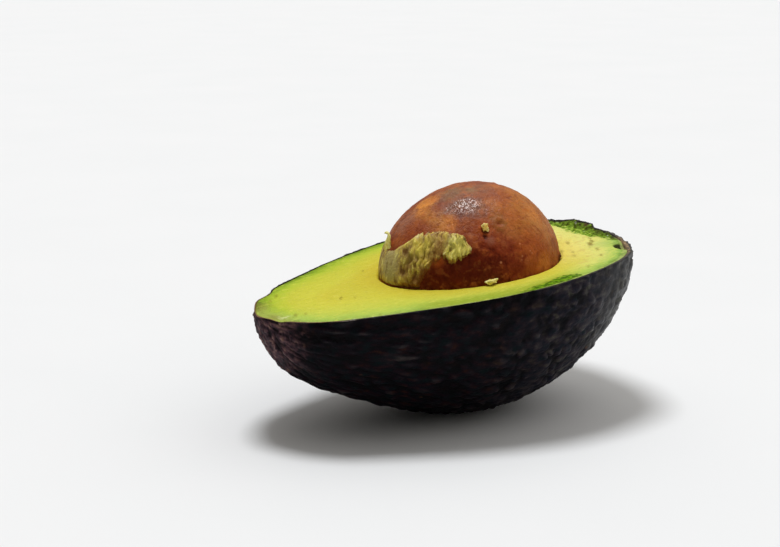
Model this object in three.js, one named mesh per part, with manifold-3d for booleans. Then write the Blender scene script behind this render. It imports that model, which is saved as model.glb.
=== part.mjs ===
// Half of a ripe avocado, cut lengthwise and lying on its back, with the seed still in its hollow.
//
// Millimetres. The fruit is shaped about its own long axis: X runs from the stem end to the blossom end,
// the cut face is the plane z = 0, and the back bulges down. It is then laid down as it balances, with
// the blossom end a little higher, on the small flat spot under its weight. That spot is the origin.

import * as THREE from 'three';
import { mergeVertices } from 'three/addons/utils/BufferGeometryUtils.js';
import Module from 'manifold-3d';

// The fruit
const LENGTH = 100;
const HALF_WIDTHS = [34.4, 16.4, 46.3, 26.3, 51.8]; // Bezier values of the girth, stem to blossom end
const BACK_DEPTHS = [1.1, 1.26, 0.925]; // Bezier values of depth over half width, stem to blossom end
const PEEL_THICKNESS = 1.2;
const FIT_GAP = 0.3; // between pieces that touch

// How it lies
const TIP_UP = 6.5; // degrees that the cut face rises towards the blossom end
const LOWEST = new THREE.Vector3(52, 0, -38.3); // the point of the back that faces straight down
const FLAT_DEPTH = 0.8; // how far the flat spot is pressed in, which makes it about 17 by 12 mm

// The seed
const SEED_CENTRE = new THREE.Vector3(57.8, -1.4, -0.7);
const SEED_HALF = new THREE.Vector3(23.8, 21.5, 20.8);
const SEED_SWELL = 0.09; // how much fatter it is towards the blossom end

// The flesh torn off the other half, stuck to the seed: [degrees round the seed, height over the cut face].
// 0 degrees faces the blossom end and 180 the stem end.
const PATCH_TOP = [
  [148, 8.2], [160, 9.1], [171, 7.4], [179, 8], [189, 10.3], [198, 12.4], [214, 12.9], [229, 12.4], [237, 11.4],
  [241, 8.6],
];
const PATCH_FOOT = [
  [148, 0.6], [206, 0.6], [211, 3], [215, 7.2], [223, 7.2], [227, 5.8], [234, 6.8], [241, 7.8],
];
const PATCH_THICKNESS = 1.1;
const PATCH_EDGE = 0.35;

// The loose crumbs of flesh: half sizes, and where they sit round the seed
const FOOT_CRUMB = { half: [1.4, 0.8, 0.7], degrees: 251, height: 1.1, away: 1.3 };
const CROWN_CRUMB = { half: [0.7, 0.6, 0.9], degrees: 256, height: 13, away: 1.2 };
const LUMP_RISE = 0.15; // height of a crumb's lumps, as a share of its size
const LUMP_WAVES = new THREE.Vector3(5, 3, 4); // how quickly the lumps follow one another along X, Y and Z

// How fine the facets are
const ROUND_FRUIT = 48;
const ALONG_FRUIT = 36;
const ROUND_SEED = 40;
const ALONG_SEED = 24;
const ROUND_PATCH = 36;
const UP_PATCH = 8;
const CRUMB_DETAIL = 2; // how often the facets of a crumb are split
const SAME_PLACE = 1e-5; // vertices closer than this are one
const REACH_PASSES = 4; // how often the distance to the seed is worked out again, each time closer
const BIG = 300; // side of the blocks that cut everything on one side of a plane

const wasm = await Module();
wasm.setup();

const layDown = new THREE.Matrix4().makeRotationY(THREE.MathUtils.degToRad(-TIP_UP));
const lowestLaid = LOWEST.clone().applyMatrix4(layDown);
layDown.premultiply(new THREE.Matrix4().makeTranslation(-lowestLaid.x, 0, -lowestLaid.z - FLAT_DEPTH));

// Value at t, from 0 to 1, of the Bezier curve with these values.
function bezier(values, t) {
  if (values.length === 1) return values[0];
  return bezier(values.slice(1).map((value, i) => values[i] + (value - values[i]) * t), t);
}

// Value at x of the line through these [x, value] points.
function along(points, x) {
  const next = Math.max(1, points.findIndex(([place]) => place >= x));
  const [[x0, y0], [x1, y1]] = [points[next - 1], points[next]];
  return THREE.MathUtils.mapLinear(x, x0, x1, y0, y1);
}

// Moves every vertex of a closed geometry to where shape(x, y, z) puts it, and shares the common ones.
function warp(geometry, shape) {
  geometry.deleteAttribute('normal');
  geometry.deleteAttribute('uv');
  const merged = mergeVertices(geometry, SAME_PLACE);
  const place = merged.attributes.position;
  for (let i = 0; i < place.count; i++) {
    place.setXYZ(i, ...shape(place.getX(i), place.getY(i), place.getZ(i)));
  }
  merged.computeVertexNormals();
  return merged;
}

// Pushes a closed surface in along its normals, or out if the distance is negative.
function inset(geometry, distance) {
  const { position, normal } = geometry.attributes;
  const point = new THREE.Vector3();
  const outward = new THREE.Vector3();
  for (let i = 0; i < position.count; i++) {
    point.fromBufferAttribute(position, i);
    outward.fromBufferAttribute(normal, i);
    position.setXYZ(i, ...point.addScaledVector(outward, -distance));
  }
  return geometry;
}

// A unit sphere with its poles on the X axis.
function ball(round, poleToPole) {
  return new THREE.SphereGeometry(1, round, poleToPole).rotateZ(Math.PI / 2);
}

// The skin of the whole uncut fruit, or the surface that lies this far inside it.
function fruitSurface(distance) {
  const fruit = warp(ball(ROUND_FRUIT, ALONG_FRUIT), (x, y, z) => {
    const share = (x + 1) / 2;
    const girth = bezier(HALF_WIDTHS, share);
    return [LENGTH * share, girth * y, girth * bezier(BACK_DEPTHS, share) * z];
  });
  return inset(fruit, distance);
}

// The seed's surface, or one that stands this far proud of it.
function seedSurface(proud) {
  const seed = warp(ball(ROUND_SEED, ALONG_SEED), (x, y, z) => {
    const swell = 1 + SEED_SWELL * x;
    const reach = [SEED_HALF.x * x, SEED_HALF.y * y * swell, SEED_HALF.z * z * swell];
    return new THREE.Vector3(...reach).add(SEED_CENTRE);
  });
  return inset(seed, -proud);
}

// The point this far proud of the seed, seen from its centre in that direction, at that height.
function besideSeed(degrees, height, proud) {
  const turn = THREE.MathUtils.degToRad(degrees);
  const [a, b, c] = SEED_HALF.toArray().map((half) => half + proud);
  const rise = height - SEED_CENTRE.z;
  let reach = b;
  for (let pass = 0; pass < REACH_PASSES; pass++) {
    const swell = 1 + (SEED_SWELL * reach * Math.cos(turn)) / a;
    const level = 1 - (rise / (c * swell)) ** 2;
    reach = Math.sqrt(level / ((Math.cos(turn) / a) ** 2 + (Math.sin(turn) / (b * swell)) ** 2));
  }
  return [SEED_CENTRE.x + reach * Math.cos(turn), SEED_CENTRE.y + reach * Math.sin(turn), height];
}

// A closed geometry in the fruit's frame, as a solid laid down on its back.
function solid(geometry) {
  const laid = geometry.clone().applyMatrix4(layDown);
  return new wasm.Manifold(new wasm.Mesh({
    numProp: 3,
    vertProperties: laid.attributes.position.array,
    triVerts: new Uint32Array(laid.index.array),
  }));
}

// Everything above the level z = height, where the fruit lies.
function above(height) {
  const block = new THREE.BoxGeometry(BIG, BIG, BIG).translate(0, 0, height + BIG / 2);
  block.applyMatrix4(layDown.clone().invert());
  return solid(warp(block, (...corner) => corner));
}

// Everything on the back's side of the cut.
function behindCut() {
  const block = new THREE.BoxGeometry(BIG, BIG, BIG).translate(0, 0, -BIG / 2);
  return solid(warp(block, (...corner) => corner));
}

// The half fruit that lies this far inside the skin, flattened where it rests.
function halfFruit(distance) {
  return solid(fruitSurface(distance)).intersect(behindCut()).intersect(above(distance));
}

function meshOf(name, shape, colour, roughness) {
  const { vertProperties, triVerts } = shape.getMesh();
  const geometry = new THREE.BufferGeometry();
  geometry.setAttribute('position', new THREE.BufferAttribute(vertProperties, 3));
  geometry.setIndex(new THREE.BufferAttribute(triVerts, 1));
  geometry.computeVertexNormals();
  const material = new THREE.MeshStandardMaterial({ color: colour, roughness, metalness: 0 });
  const mesh = new THREE.Mesh(geometry, material);
  mesh.name = name;
  return mesh;
}

// The thin, leathery skin, a shell open at the cut.
function peel() {
  const pulp = solid(fruitSurface(PEEL_THICKNESS)).intersect(above(PEEL_THICKNESS));
  return meshOf('peel', halfFruit(0).subtract(pulp), 0x2b1d20, 0.55);
}

// The pulp inside it, with the hollow that the seed lies in.
function flesh() {
  const pulp = halfFruit(PEEL_THICKNESS + FIT_GAP);
  return meshOf('flesh', pulp.subtract(solid(seedSurface(FIT_GAP))), 0xd8cf5e, 0.45);
}

function seed() {
  return meshOf('seed', solid(seedSurface(0)), 0x8a4724, 0.45);
}

// 0 at both ends of the way from 0 to 1, and 1 halfway.
function arch(share) {
  return 2 * Math.sqrt(share * (1 - share));
}

// A thin slab of pulp that hugs the seed, thickest in its middle.
function pulpPatch() {
  const start = PATCH_TOP[0][0];
  const end = PATCH_TOP.at(-1)[0];
  const slab = new THREE.BoxGeometry(1, 1, 1, ROUND_PATCH, UP_PATCH, 1).translate(0.5, 0.5, 0.5);
  const patch = warp(slab, (across, up, out) => {
    const degrees = THREE.MathUtils.lerp(start, end, across);
    const height = THREE.MathUtils.lerp(along(PATCH_FOOT, degrees), along(PATCH_TOP, degrees), up);
    const thickness = THREE.MathUtils.lerp(PATCH_EDGE, PATCH_THICKNESS, arch(across) * arch(up));
    return besideSeed(degrees, height, FIT_GAP + out * thickness);
  });
  return meshOf('pulp_patch', solid(patch), 0xa3a05a, 0.5);
}

// A crumb of pulp: a lumpy pebble at its place beside the seed.
function crumb(name, { half, degrees, height, away }) {
  const centre = new THREE.Vector3(...besideSeed(degrees, height, away));
  const pebble = warp(new THREE.IcosahedronGeometry(1, CRUMB_DETAIL), (x, y, z) => {
    const lump = 1 + LUMP_RISE * Math.sin(LUMP_WAVES.x * x + LUMP_WAVES.y * y) * Math.cos(LUMP_WAVES.z * z);
    return new THREE.Vector3(half[0] * x, half[1] * y, half[2] * z).multiplyScalar(lump).add(centre);
  });
  return meshOf(name, solid(pebble), 0xd9d27a, 0.5);
}

const group = new THREE.Group();
group.add(peel(), flesh(), seed(), pulpPatch());
group.add(crumb('pulp_crumb_foot', FOOT_CRUMB), crumb('pulp_crumb_crown', CROWN_CRUMB));

export default group;
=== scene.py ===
# %% [markdown]
# # Half an avocado with its seed
#
# The object is one half of a ripe avocado, cut lengthwise and lying on its back. It has a thin leathery
# peel, buttery flesh, a big brown seed that still sits in its hollow, a flake of flesh that the other half
# left on the seed, and two crumbs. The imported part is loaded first, because it says where everything is.

import math

import bpy
import numpy as np
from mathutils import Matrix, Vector, noise
from mathutils.kdtree import KDTree


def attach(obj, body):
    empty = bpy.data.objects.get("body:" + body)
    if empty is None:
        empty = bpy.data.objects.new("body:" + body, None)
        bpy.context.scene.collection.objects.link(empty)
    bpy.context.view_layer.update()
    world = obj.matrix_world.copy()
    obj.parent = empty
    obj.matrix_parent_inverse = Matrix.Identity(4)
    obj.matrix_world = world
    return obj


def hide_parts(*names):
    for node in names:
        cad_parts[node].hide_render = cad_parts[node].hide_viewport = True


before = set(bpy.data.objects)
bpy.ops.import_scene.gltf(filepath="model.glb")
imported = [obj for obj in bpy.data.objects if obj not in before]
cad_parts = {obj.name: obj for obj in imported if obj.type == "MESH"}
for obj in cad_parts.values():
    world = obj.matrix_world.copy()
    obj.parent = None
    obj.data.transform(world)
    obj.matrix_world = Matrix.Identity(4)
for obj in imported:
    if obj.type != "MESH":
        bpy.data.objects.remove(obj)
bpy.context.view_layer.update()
print("packed nodes:", sorted(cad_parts))

# %% [markdown]
# A fruit is easiest to think about along its own axis, so everything is shaped in the fruit's own frame, in
# millimetres: X runs from the stem end to the blossom end, the cut face is the plane z = 0, and the back
# bulges down. Two short lists of numbers give the girth and the depth along it. They are the values of a
# Bezier curve, which turns a few numbers into one smooth line.

# %% The fruit's measurements
LENGTH = 100.0
HALF_WIDTHS = (34.4, 16.4, 46.3, 26.3, 51.8)
BACK_DEPTHS = (1.1, 1.26, 0.925)
TIP_UP = math.radians(6.5)
LOWEST_X, LOWEST_Z = 52.0, -38.3  # the point of the back that faces straight down
FLAT_DEPTH = 0.8  # how far the spot that it rests on is pressed in
MM = 0.001


def bezier(values, share):
    while len(values) > 1:
        values = [low + (high - low) * share for low, high in zip(values, values[1:])]
    return values[0]


def squared_width(x):
    share = x / LENGTH
    return 4.0 * share * (1.0 - share) * bezier(HALF_WIDTHS, share) ** 2


def depth_ratio(x):
    return bezier(BACK_DEPTHS, x / LENGTH)


widest = np.sqrt(squared_width(np.linspace(0.0, LENGTH, 201)).max())
print(f"the fruit is {LENGTH:.0f} mm long and {2 * widest:.1f} mm wide")

# %% [markdown]
# The outline of the cut is needed at even steps, so that the faces along it come out the same size. It is
# walked once in very small steps, and a place on it is then looked up by the share of the walk, called its
# turn: 0 is the blossom end, and a half is the stem end.

# %% The outline of the cut
OUTLINE_STEPS = 20000
AT_CUT = 1e-4  # a smaller dip than this is the cut face itself
around = np.linspace(0.0, 2.0 * np.pi, OUTLINE_STEPS + 1)
outline_x = LENGTH * (1.0 + np.cos(around)) / 2.0
outline_y = bezier(HALF_WIDTHS, outline_x / LENGTH) * np.sin(around)
walked = np.append(0.0, np.cumsum(np.hypot(np.diff(outline_x), np.diff(outline_y))))


def outline(turn):
    walk = turn * walked[-1]
    return np.interp(walk, walked, outline_x), np.interp(walk, walked, outline_y)


def skin(turn, dip):
    """The smooth back: dip is 0 at the cut, and a quarter turn at the lowest point."""
    edge_x, edge_y = outline(turn)
    x = LOWEST_X + (edge_x - LOWEST_X) * np.cos(dip)
    y = edge_y * np.cos(dip)
    depth = depth_ratio(x) * np.sqrt(np.clip(squared_width(x) - y**2, 0.0, None))
    return np.stack([x, y, np.where(dip > AT_CUT, -depth, 0.0)], axis=1)


def unit(vectors):
    return vectors / np.linalg.norm(vectors, axis=1, keepdims=True)


def outward(points):
    """The direction straight out of the skin at these points."""
    x, y, z = points.T
    step = 0.01
    ratio = depth_ratio(x)
    ratio_slope = (depth_ratio(x + step) - depth_ratio(x - step)) / (2.0 * step)
    width_slope = (squared_width(x + step) - squared_width(x - step)) / (2.0 * step)
    lengthwise = -2.0 * z**2 * ratio_slope / ratio**3 - width_slope
    return unit(np.stack([lengthwise, 2.0 * y, 2.0 * z / ratio**2], axis=1))


print(f"the cut is {walked[-1]:.0f} mm round")

# %% [markdown]
# Nature never makes a smooth surface. Two kinds of noise give the unevenness here: soft waves for lumps and
# streaks, and cells for the pebbled skin. Both are read at points in millimetres, so a size in the code is a
# size on the fruit. The seed of a noise moves it elsewhere, so that no two patterns agree.

# %% Waves, cells and smooth steps
LAYER_FADE, LAYER_STEP = 0.9, 2.1  # how much fainter and finer each layer of waves is than the last


def waves(points, size, layers=1, seed=0.0):
    """Soft noise from about -1 to 1, with waves of this size. The size may differ along X, Y and Z."""
    spread = np.asarray(points) / np.asarray(size) + seed
    if layers == 1:
        return np.array([noise.noise(Vector(place)) for place in spread])
    return np.array([noise.fractal(Vector(place), LAYER_FADE, LAYER_STEP, layers) for place in spread])


def cell_edge(points, size, seed=0.0):
    """How far each point is from the edge of its cell, in cell sizes."""
    spread = np.asarray(points) / np.asarray(size) + seed
    nearest = np.array([noise.voronoi(Vector(place))[0][:2] for place in spread])
    return nearest[:, 1] - nearest[:, 0]


def ease(value, start, end):
    """0 before start and 1 after end, with a soft step between. The end may come before the start."""
    share = np.clip((value - start) / (end - start), 0.0, 1.0)
    return share * share * (3.0 - 2.0 * share)


def hill(x, y, at, reach):
    """1 at a place, and fading out beyond this reach along X and Y."""
    return np.exp(-(((x - at[0]) / reach[0]) ** 2) - ((y - at[1]) / reach[1]) ** 2)


def flat_points(x, y):
    return np.column_stack([x, y, 0.0 * x])


print("waves at one point:", waves([(1.0, 2.0, 3.0)], 2.7))

# %% [markdown]
# Operators act on what is selected, so each piece starts with nothing selected. A finished piece is laid
# down like the part: tipped up by a few degrees, scaled to metres, and kept above the table. The object
# itself stays at the origin, and its place is in its mesh. What its finish has to know about each vertex,
# such as how far it is from the skin, is noted down there as an attribute.

# %% Picking up and laying down a piece
TILT_COS, TILT_SIN = math.cos(TIP_UP), math.sin(TIP_UP)
LAID_X = LOWEST_Z * TILT_SIN - LOWEST_X * TILT_COS
LAID_Z = -LOWEST_X * TILT_SIN - LOWEST_Z * TILT_COS - FLAT_DEPTH


def start_afresh():
    if bpy.context.object and bpy.context.object.mode != "OBJECT":
        bpy.ops.object.mode_set(mode="OBJECT")
    bpy.ops.object.select_all(action="DESELECT")


def new_piece(name):
    piece = bpy.context.object
    piece.name = piece.data.name = name
    return piece


def places(piece):
    coords = np.empty(3 * len(piece.data.vertices))
    piece.data.vertices.foreach_get("co", coords)
    return coords.reshape(-1, 3)


def lay_down(piece, points, floor=0.0, **notes):
    """Puts the vertices at these points of the fruit, no lower than the floor, and notes values at them."""
    x, y, z = points.T
    height = np.maximum(x * TILT_SIN + z * TILT_COS + LAID_Z, floor)
    laid = np.stack([x * TILT_COS - z * TILT_SIN + LAID_X, y, height], axis=1)
    piece.data.vertices.foreach_set("co", (laid * MM).ravel())
    for name, values in notes.items():
        layer = piece.data.attributes.new(name, "FLOAT", "POINT")
        layer.data.foreach_set("value", np.ascontiguousarray(values, dtype=np.float32))
    piece.data.update()
    start_afresh()
    piece.select_set(True)
    bpy.context.view_layer.objects.active = piece
    bpy.ops.object.shade_smooth()
    triangles = sum(len(face.vertices) - 2 for face in piece.data.polygons)
    print(f"{piece.name}: {len(piece.data.vertices)} vertices, {triangles} triangles")


print(f"the fruit's own origin goes to ({LAID_X:.2f}, 0, {LAID_Z:.2f}) mm")

# %% [markdown]
# The peel and the flesh are both bowls: a round wall, a flat rim, and a hollow. They could be cut out of a
# solid with a boolean, but that leaves ragged faces along the rim, where they show most. So one plain bowl is
# made as by hand, and used twice. A ball is cut in half, its open edge is drawn inwards ring by ring to make
# the rim, and then down ring by ring to make the hollow, and the last ring is pulled together into a point.
# Nothing is open, so the bowl is one closed skin with its faces outwards.

# %% A plain bowl
CUTS = 3  # of each edge of the ball


def bowl(name, columns, wall_rings, rim_rings, hollow_rings, hollow):
    """A bowl of radius 1 with a hollow of this radius."""
    start_afresh()
    bpy.ops.mesh.primitive_uv_sphere_add(
        segments=columns // (CUTS + 1), ring_count=2 * wall_rings // (CUTS + 1), radius=1.0)
    piece = new_piece(name)
    bpy.ops.object.mode_set(mode="EDIT")
    bpy.ops.mesh.select_all(action="SELECT")
    bpy.ops.mesh.bisect(plane_co=(0, 0, 0), plane_no=(0, 0, 1), clear_outer=True)
    bpy.ops.mesh.select_all(action="SELECT")
    bpy.ops.mesh.subdivide(number_cuts=CUTS)
    bpy.ops.mesh.select_mode(type="EDGE")
    bpy.ops.mesh.select_all(action="DESELECT")
    bpy.ops.mesh.select_non_manifold()
    radius = 1.0
    for ring in range(1, rim_rings + 1):
        next_radius = 1.0 + (hollow - 1.0) * ring / rim_rings
        draw_in(next_radius / radius)
        radius = next_radius
    depth = 0.0
    for ring in range(1, hollow_rings):
        dip = math.pi / 2.0 * ring / hollow_rings
        draw_in(hollow * math.cos(dip) / radius, down=hollow * math.sin(dip) - depth)
        radius, depth = hollow * math.cos(dip), hollow * math.sin(dip)
    draw_in(0.5, down=hollow - depth)
    bpy.ops.mesh.merge(type="CENTER")
    bpy.ops.object.mode_set(mode="OBJECT")
    print(f"{name}: a plain bowl of {len(piece.data.polygons)} faces")
    return piece


def draw_in(factor, down=0.0):
    bpy.ops.mesh.extrude_region_move(TRANSFORM_OT_translate={"value": (0.0, 0.0, -down)})
    bpy.ops.transform.resize(value=(factor, factor, 1.0), center_override=(0.0, 0.0, 0.0))


def read_bowl(piece, hollow):
    """For each vertex of a bowl: its turn, its dip, and how far in from the wall it is, 0 to 1."""
    x, y, z = places(piece).T
    radius = np.sqrt(x**2 + y**2 + z**2)
    turn = np.mod(np.arctan2(y, x) / (2.0 * np.pi), 1.0)
    dip = np.arcsin(np.clip(-z / radius, 0.0, 1.0))
    inward = np.clip((1.0 - radius) / (1.0 - hollow), 0.0, 1.0)
    return turn, dip, inward


# %% [markdown]
# The peel of a ripe fruit is near black, and pebbled all over. The pebbles are about 3 mm across, drawn out
# lengthwise towards the stem. Bump in the material would be lighter, but the pebbles show against the light
# along the edge of the fruit, so they are real: each vertex of the wall is pushed out or in by the height of
# its cell. The cells are laid out on the skin as if it was rolled out flat, which draws them out evenly.

# %% The pebbled relief
PEBBLE, FINE_PEBBLE = 2.7, 1.2
PEBBLE_RISE, FINE_RISE, RIDGE_RISE = 0.36, 0.08, 0.38
STRETCH_AT_STEM, STRETCH_AT_BLOSSOM = 2.4, 1.15
BELLY = 34.0  # the fruit's half width where it is thickest, by which the way round is measured
TIP_BEGINS = (72.0, 86.0)


def unrolled(points):
    """The back rolled out flat: how far along the skin from the stem, and how far round it, in mm."""
    steps = np.linspace(0.0, LENGTH, 2001)
    girth = np.sqrt(squared_width(steps)) * (1.0 + depth_ratio(steps)) / 2.0
    walk = np.append(0.0, np.cumsum(np.hypot(np.diff(steps), np.diff(girth))))
    around = np.arctan2(points[:, 1], np.maximum(-points[:, 2] / depth_ratio(points[:, 0]), 0.0))
    return flat_points(np.interp(points[:, 0], steps, walk), BELLY * around)


def squeezed(flat):
    """The rolled out skin with its length shortened, so that a round cell there comes out long."""
    steps = np.linspace(0.0, 200.0, 401)
    stretch = STRETCH_AT_STEM + (STRETCH_AT_BLOSSOM - STRETCH_AT_STEM) * ease(steps, 10.0, 75.0)
    shortened = np.append(0.0, np.cumsum(np.diff(steps) / stretch[1:]))
    return flat_points(np.interp(flat[:, 0], steps, shortened), flat[:, 1])


def pebbles(even):
    """Height of the relief in mm, and how near each point is to the top of its pebble, 0 to 1."""
    bent = even + 0.8 * np.column_stack([waves(even, 3.0, seed=axis * 11.0) for axis in (1, 2, 3)])
    top = ease(cell_edge(bent, PEBBLE), 0.0, 0.6)
    fine_top = ease(cell_edge(bent, FINE_PEBBLE, seed=7.0), 0.0, 0.5)
    size = 0.6 + 0.9 * waves(even, 5.5, seed=4.0)
    ridges = waves(even, (4.6, 3.0, 3.0), layers=3, seed=20.0)
    relief = PEBBLE_RISE * size * (2.0 * top - 1.1) + RIDGE_RISE * ridges
    return relief + FINE_RISE * (fine_top - 0.5), top


print(f"the pebbles are about {PEBBLE * STRETCH_AT_BLOSSOM:.1f} to {PEBBLE * STRETCH_AT_STEM:.1f} mm long")

# %% [markdown]
# The knife came in at the blossom end and left a step there: on the far side the rim stands almost a
# millimetre higher, up to the end, where it drops at once. The peel is thin, but corky and twice as thick
# on the near side of the blossom end. At the stem end a shallow notch is what the stem's socket has left,
# and the skin swells a little below it. All of these are functions of the place and not edits of one mesh,
# because the peel and the flesh both follow them, and so they still fit together.

# %% The knife's step, the peel's thickness and the stem notch
STEP_RISE = 0.95
THIN_PEEL, FAR_SIDE_LOSS = 0.75, 0.3
CORK_GAIN, CORK_UNEVEN = 0.85, 0.35
CORK_AT, CORK_REACH = (94.0, -21.0), (7.5, 7.5)
STEM_AT, STEM_REACH, STEM_DEPTH = (1.6, -5.6), (1.6, 2.2), 0.55
RIM_SWELL, STEM_SWELL, CORK_SWELL = 1.6, 0.9, 0.7  # at the stem's rim, below it, and beside the cork


def knife_step(x, y):
    return STEP_RISE * ease(y, 14.0, 7.0) * ease(y, -0.7, 0.0) * ease(x, 80.0, 90.0)


def thickness(turn):
    x, y = outline(turn)
    gain = CORK_GAIN + CORK_UNEVEN * waves(flat_points(x, y), 2.2, layers=2, seed=14.0)
    return THIN_PEEL - FAR_SIDE_LOSS * ease(y, -4.0, 6.0) + gain * hill(x, y, CORK_AT, CORK_REACH)


def stem_notch(x, y):
    return STEM_DEPTH * hill(x, y, STEM_AT, STEM_REACH)


def swelling(points):
    """How far the skin swells out, in mm: below the stem and beside the cork, less a chip at the rim."""
    x, y, z = points.T
    rise, chip = np.exp(-(((y - 0.5) / 6.0) ** 2)), np.exp(-(((y - 16.2) / 2.6) ** 2))
    below_stem = STEM_SWELL + (RIM_SWELL * rise - RIM_SWELL * chip - STEM_SWELL) * ease(z, -5.0, 0.0)
    beside_cork = CORK_SWELL * hill(x, y, (90.0, -26.0), (9.0, 9.0)) * ease(z, -13.0, -6.0)
    return ease(x, 24.0, 6.0) * ease(z, -25.0, -12.0) * below_stem + beside_cork


rim_thickness = thickness(np.linspace(0.0, 1.0, 401))
print(f"the peel is {rim_thickness.min():.2f} to {rim_thickness.max():.2f} mm thick at the rim")

# %% [markdown]
# Rolling out the skin crowds everything at its two ends, so over the blossom tip the pebbles come from even
# noise in space instead. And where the peel is thin, the dips between the pebbles stop short of its inside.

# %% Shape the peel
PEEL_HOLLOW = 0.9
THINNEST = 0.12

peel = bowl("avocado_peel", columns=560, wall_rings=112, rim_rings=4, hollow_rings=12, hollow=PEEL_HOLLOW)
turn, dip, inward = read_bowl(peel, PEEL_HOLLOW)
smooth_skin = skin(turn, dip)
flat = unrolled(smooth_skin)
relief, pebble_top = pebbles(squeezed(flat))
tip_relief, tip_top = pebbles(smooth_skin / (STRETCH_AT_BLOSSOM, 1.0, 1.0))
at_tip = ease(smooth_skin[:, 0], *TIP_BEGINS)
relief += (tip_relief - relief) * at_tip
pebble_top += (tip_top - pebble_top) * at_tip
on_wall = 1.0 - ease(inward, 0.0, 0.5)
wall = thickness(turn)
raised = np.maximum(relief, THINNEST - wall) * on_wall + swelling(smooth_skin)
points = smooth_skin + outward(smooth_skin) * (raised - wall * inward)[:, None]
points[:, 2] += ease(points[:, 2], -5.0, 0.0) * knife_step(points[:, 0], points[:, 1])
points[:, 2] -= ease(points[:, 2], -2.5, 0.0) * stem_notch(points[:, 0], points[:, 1])
at_end = ease(smooth_skin[:, 0], 80.0, 94.0)
nicks = waves(points, 1.6, layers=2, seed=3.0)
points[:, 2] += ease(smooth_skin[:, 2], -1.0, 0.0) * (0.1 + 0.22 * at_end) * nicks * on_wall
lay_down(peel, points, floor=wall * inward, pebble_top=pebble_top * on_wall, cut_edge=inward,
         relief=relief, along=flat[:, 0], round=flat[:, 1])

# %% [markdown]
# The flesh fills the peel. Its rim is the cut face, which is wide at the stem end and narrow beside the
# seed, and its hollow is the bed of the seed. A plane with a hole would do for the cut face, but a bowl
# keeps the flesh one solid. Each line across the face runs from the outline straight towards the middle of
# the seed.

# %% The seed's measurements and its bed
SEED_CENTRE = np.array([57.8, -1.4, -0.7])
SEED_HALF = np.array([23.8, 21.5, 20.8])
SEED_SWELL = 0.09
BED_GAP = 0.25


def seed_skin(around, rise, proud=0.0):
    """A point on the seed, or this far proud of it: around from the blossom end, rise above its middle."""
    ball = np.stack([np.cos(rise) * np.cos(around), np.cos(rise) * np.sin(around), np.sin(rise)], axis=1)
    swell = 1.0 + SEED_SWELL * ball[:, 0]
    return SEED_CENTRE + (SEED_HALF + proud) * ball * np.stack([np.ones_like(swell), swell, swell], axis=1)


def seed_outward(points):
    return unit((points - SEED_CENTRE) / SEED_HALF**2)


def bed_line(around):
    """The rise at which the bed meets the cut face."""
    rise = np.zeros_like(around)
    for _ in range(3):
        swell = 1.0 + SEED_SWELL * np.cos(rise) * np.cos(around)
        rise = np.arcsin(-SEED_CENTRE[2] / ((SEED_HALF[2] + BED_GAP) * swell))
    return rise


print("the seed is {:.0f} by {:.0f} by {:.0f} mm".format(*2 * SEED_HALF))

# %% Shape the flesh
FLESH_HOLLOW = 0.5
IN_HOLLOW = 0.5  # further in than this and below the cut is the hollow, and not the wall
SKIN_GAP = 0.06
CROWDING = 0.05  # how much closer the columns stand towards the blossom end

flesh = bowl("avocado_flesh", columns=560, wall_rings=16, rim_rings=92, hollow_rings=14, hollow=FLESH_HOLLOW)
turn, dip, inward = read_bowl(flesh, FLESH_HOLLOW)
turn = np.mod(turn - CROWDING * np.sin(2.0 * np.pi * turn), 1.0)
wall = thickness(turn) + SKIN_GAP
outside, rim = skin(turn, dip), skin(turn, 0.0 * dip)
outside += outward(outside) * (swelling(outside) - wall)[:, None]
rim += outward(rim) * (swelling(rim) - wall)[:, None]
reach = (rim[:, :2] - SEED_CENTRE[:2]) / SEED_HALF[:2]
around = np.arctan2(reach[:, 1], reach[:, 0])
lip_rise = bed_line(around)
lip = seed_skin(around, lip_rise, BED_GAP)
bed = seed_skin(around, lip_rise - dip * (np.pi / 2.0 + lip_rise) / (np.pi / 2.0), BED_GAP)
face = rim + (lip - rim) * inward[:, None]
on_face = dip < AT_CUT
points = np.where(on_face[:, None], face, np.where((inward > IN_HOLLOW)[:, None], bed, outside))
print(f"{on_face.sum()} vertices lie on the cut face")

# %% [markdown]
# What gives a cut face its look happens near its two edges: the flesh is green by the skin and yellow by the
# seed. So each vertex keeps its distance from the skin and from the seed. A search tree finds the nearest
# point of the outline quickly.

# %% Measure the cut face
TREE_STEP = 20
BED_FROM_SKIN, BED_FROM_SEED, BACK_FROM_SEED = 12.0, -3.0, 40.0

tree = KDTree(OUTLINE_STEPS // TREE_STEP)
for index in range(0, OUTLINE_STEPS, TREE_STEP):
    tree.insert((outline_x[index], outline_y[index], 0.0), index)
tree.balance()
from_skin = np.array([tree.find((x, y, 0.0))[2] for x, y in points[:, :2]])
from_skin = np.where(on_face, from_skin - wall, np.where(inward > IN_HOLLOW, BED_FROM_SKIN, 0.0))
from_seed = np.where(inward > IN_HOLLOW, BED_FROM_SEED, BACK_FROM_SEED)
from_seed = np.where(on_face, np.linalg.norm(lip - face, axis=1), from_seed)
print(f"the cut face is up to {from_skin[on_face].max():.1f} mm from the skin")

# %% [markdown]
# The knife leaves fine streaks, and the flesh tears where it stopped: a shredded band lies inside the raised
# rim at the blossom end. There is also a pit near the end, and the face is rounded off by the skin and by
# the seed. Bump could stand for the streaks, but not for the shreds and the pit, which throw shadows, so the
# vertices themselves are raised and sunk.

# %% Streaks, tears and pits in the cut face
PIT_AT, PIT_HALF, PIT_TURN = (92.9, -19.6), (3.1, 1.6), math.radians(74.0)
TEAR_EDGE = (
    (-16.0, 0.6), (-12.0, 2.4), (-8.0, 4.6), (-3.0, 6.2), (2.0, 6.6), (8.7, 5.4), (13.0, 4.4), (18.0, 3.4))


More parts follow.
